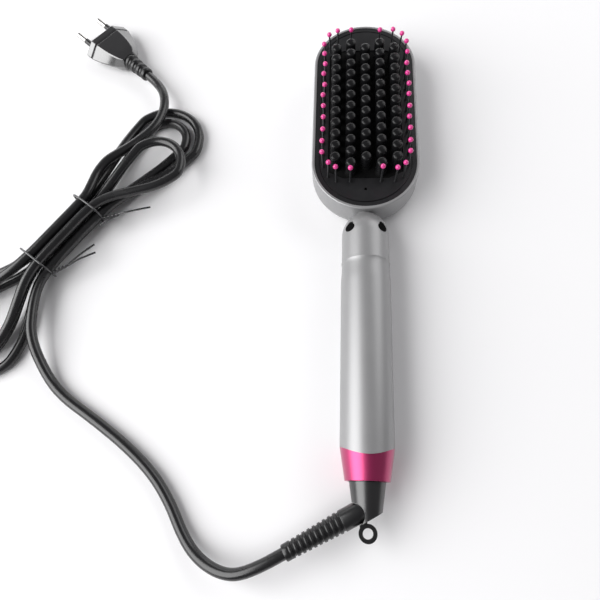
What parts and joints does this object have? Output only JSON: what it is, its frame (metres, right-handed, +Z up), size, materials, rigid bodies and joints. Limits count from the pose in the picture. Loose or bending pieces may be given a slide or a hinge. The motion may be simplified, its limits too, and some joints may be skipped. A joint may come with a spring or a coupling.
{
  "type": "heated styling brush",
  "caption": "Heated styling brush with a rounded paddle head, nubs and pin bristles, tubular handle, swivel cord exit, hanging loop and a hanked mains cord with plug.",
  "frame": {"origin": "on the table, under the middle of the brush without its cord", "axes": "+Y from the hanging loop to the top of the head, +Z up out of the bristles, +X to the brush's right"},
  "size_m": [0.2953, 0.3665, 0.0388],
  "materials": {
    "satin_silver": "satin silver paint",
    "black_plate": "semi-gloss black",
    "coated_panel": "black heat-proof coating",
    "black_nylon": "smooth black nylon",
    "pink_tips": "glossy pink",
    "pink_clear": "translucent pink",
    "grey_gloss": "dark glossy plastic",
    "clear_window": "smoked clear plastic",
    "ceramic_white": "white ceramic",
    "mica": "mica sheet",
    "steel": "bright steel",
    "brass": "plain brass",
    "nickel_pins": "nickel plated",
    "green_board": "solder mask",
    "grey_inner": "moulded grey",
    "lead_sleeve": "woven heat sleeve",
    "black_rubber": "matte black rubber",
    "tie_wire": "coated wire"
  },
  "bodies": {
    "brush": {"head_shell": "satin_silver", "neck_housing": "satin_silver", "handle_sleeve": "satin_silver", "face_plate": "black_plate", "control_panel": "black_plate", "heater_panel": "coated_panel", "bristle_stems": "black_nylon", "ion_outlets": "black_nylon", "tact_switches": "black_nylon", "swivel_bush": "black_nylon", "contact_block": "black_nylon", "relay": "black_nylon", "bristle_tips": "pink_tips", "end_collar": "pink_clear", "display_window": "clear_window", "heater_element": "ceramic_white", "thermal_fuse": "ceramic_white", "insulation_sheet": "mica", "heater_clamp": "steel", "clamp_screws": "steel", "ion_needles": "steel", "contact_wipers": "brass", "circuit_board": "green_board", "power_board": "green_board", "board_tray": "grey_inner", "display_module": "grey_inner", "ion_generator": "grey_inner", "capacitor": "grey_inner", "temperature_sensor": "grey_inner", "heater_leads": "lead_sleeve"},
    "swivel": {"swivel_elbow": "grey_gloss", "hanging_loop": "grey_gloss", "swivel_clip": "steel", "slip_rings": "brass", "strain_relief": "black_rubber", "cord_free": "black_rubber", "cord_hank": "black_rubber", "twist_ties": "tie_wire", "cord_plug_tail": "black_rubber", "plug_body": "black_rubber", "plug_relief": "black_rubber", "plug_pins": "nickel_pins", "pin_sleeves": "black_rubber"},
    "power_button_body": {"power_button": "grey_gloss"},
    "heat_up_button_body": {"heat_up_button": "grey_gloss"},
    "heat_down_button_body": {"heat_down_button": "grey_gloss"}
  },
  "joints": [
    {"name": "cord_swivel", "type": "hinge", "parent": "brush", "child": "swivel", "pos_m": [0, -0.13, 0.014], "axis": [0, 1, 0], "continuous": true},
    {"name": "power_button_press", "type": "slide", "parent": "brush", "child": "power_button_body", "axis": [0, 0, 1], "range_m": [0, 0.0008], "stiffness_N_per_m": 800},
    {"name": "heat_up_button_press", "type": "slide", "parent": "brush", "child": "heat_up_button_body", "axis": [0, 0, 1], "range_m": [0, 0.0008], "stiffness_N_per_m": 800},
    {"name": "heat_down_button_press", "type": "slide", "parent": "brush", "child": "heat_down_button_body", "axis": [0, 0, 1], "range_m": [0, 0.0008], "stiffness_N_per_m": 800}
  ]
}
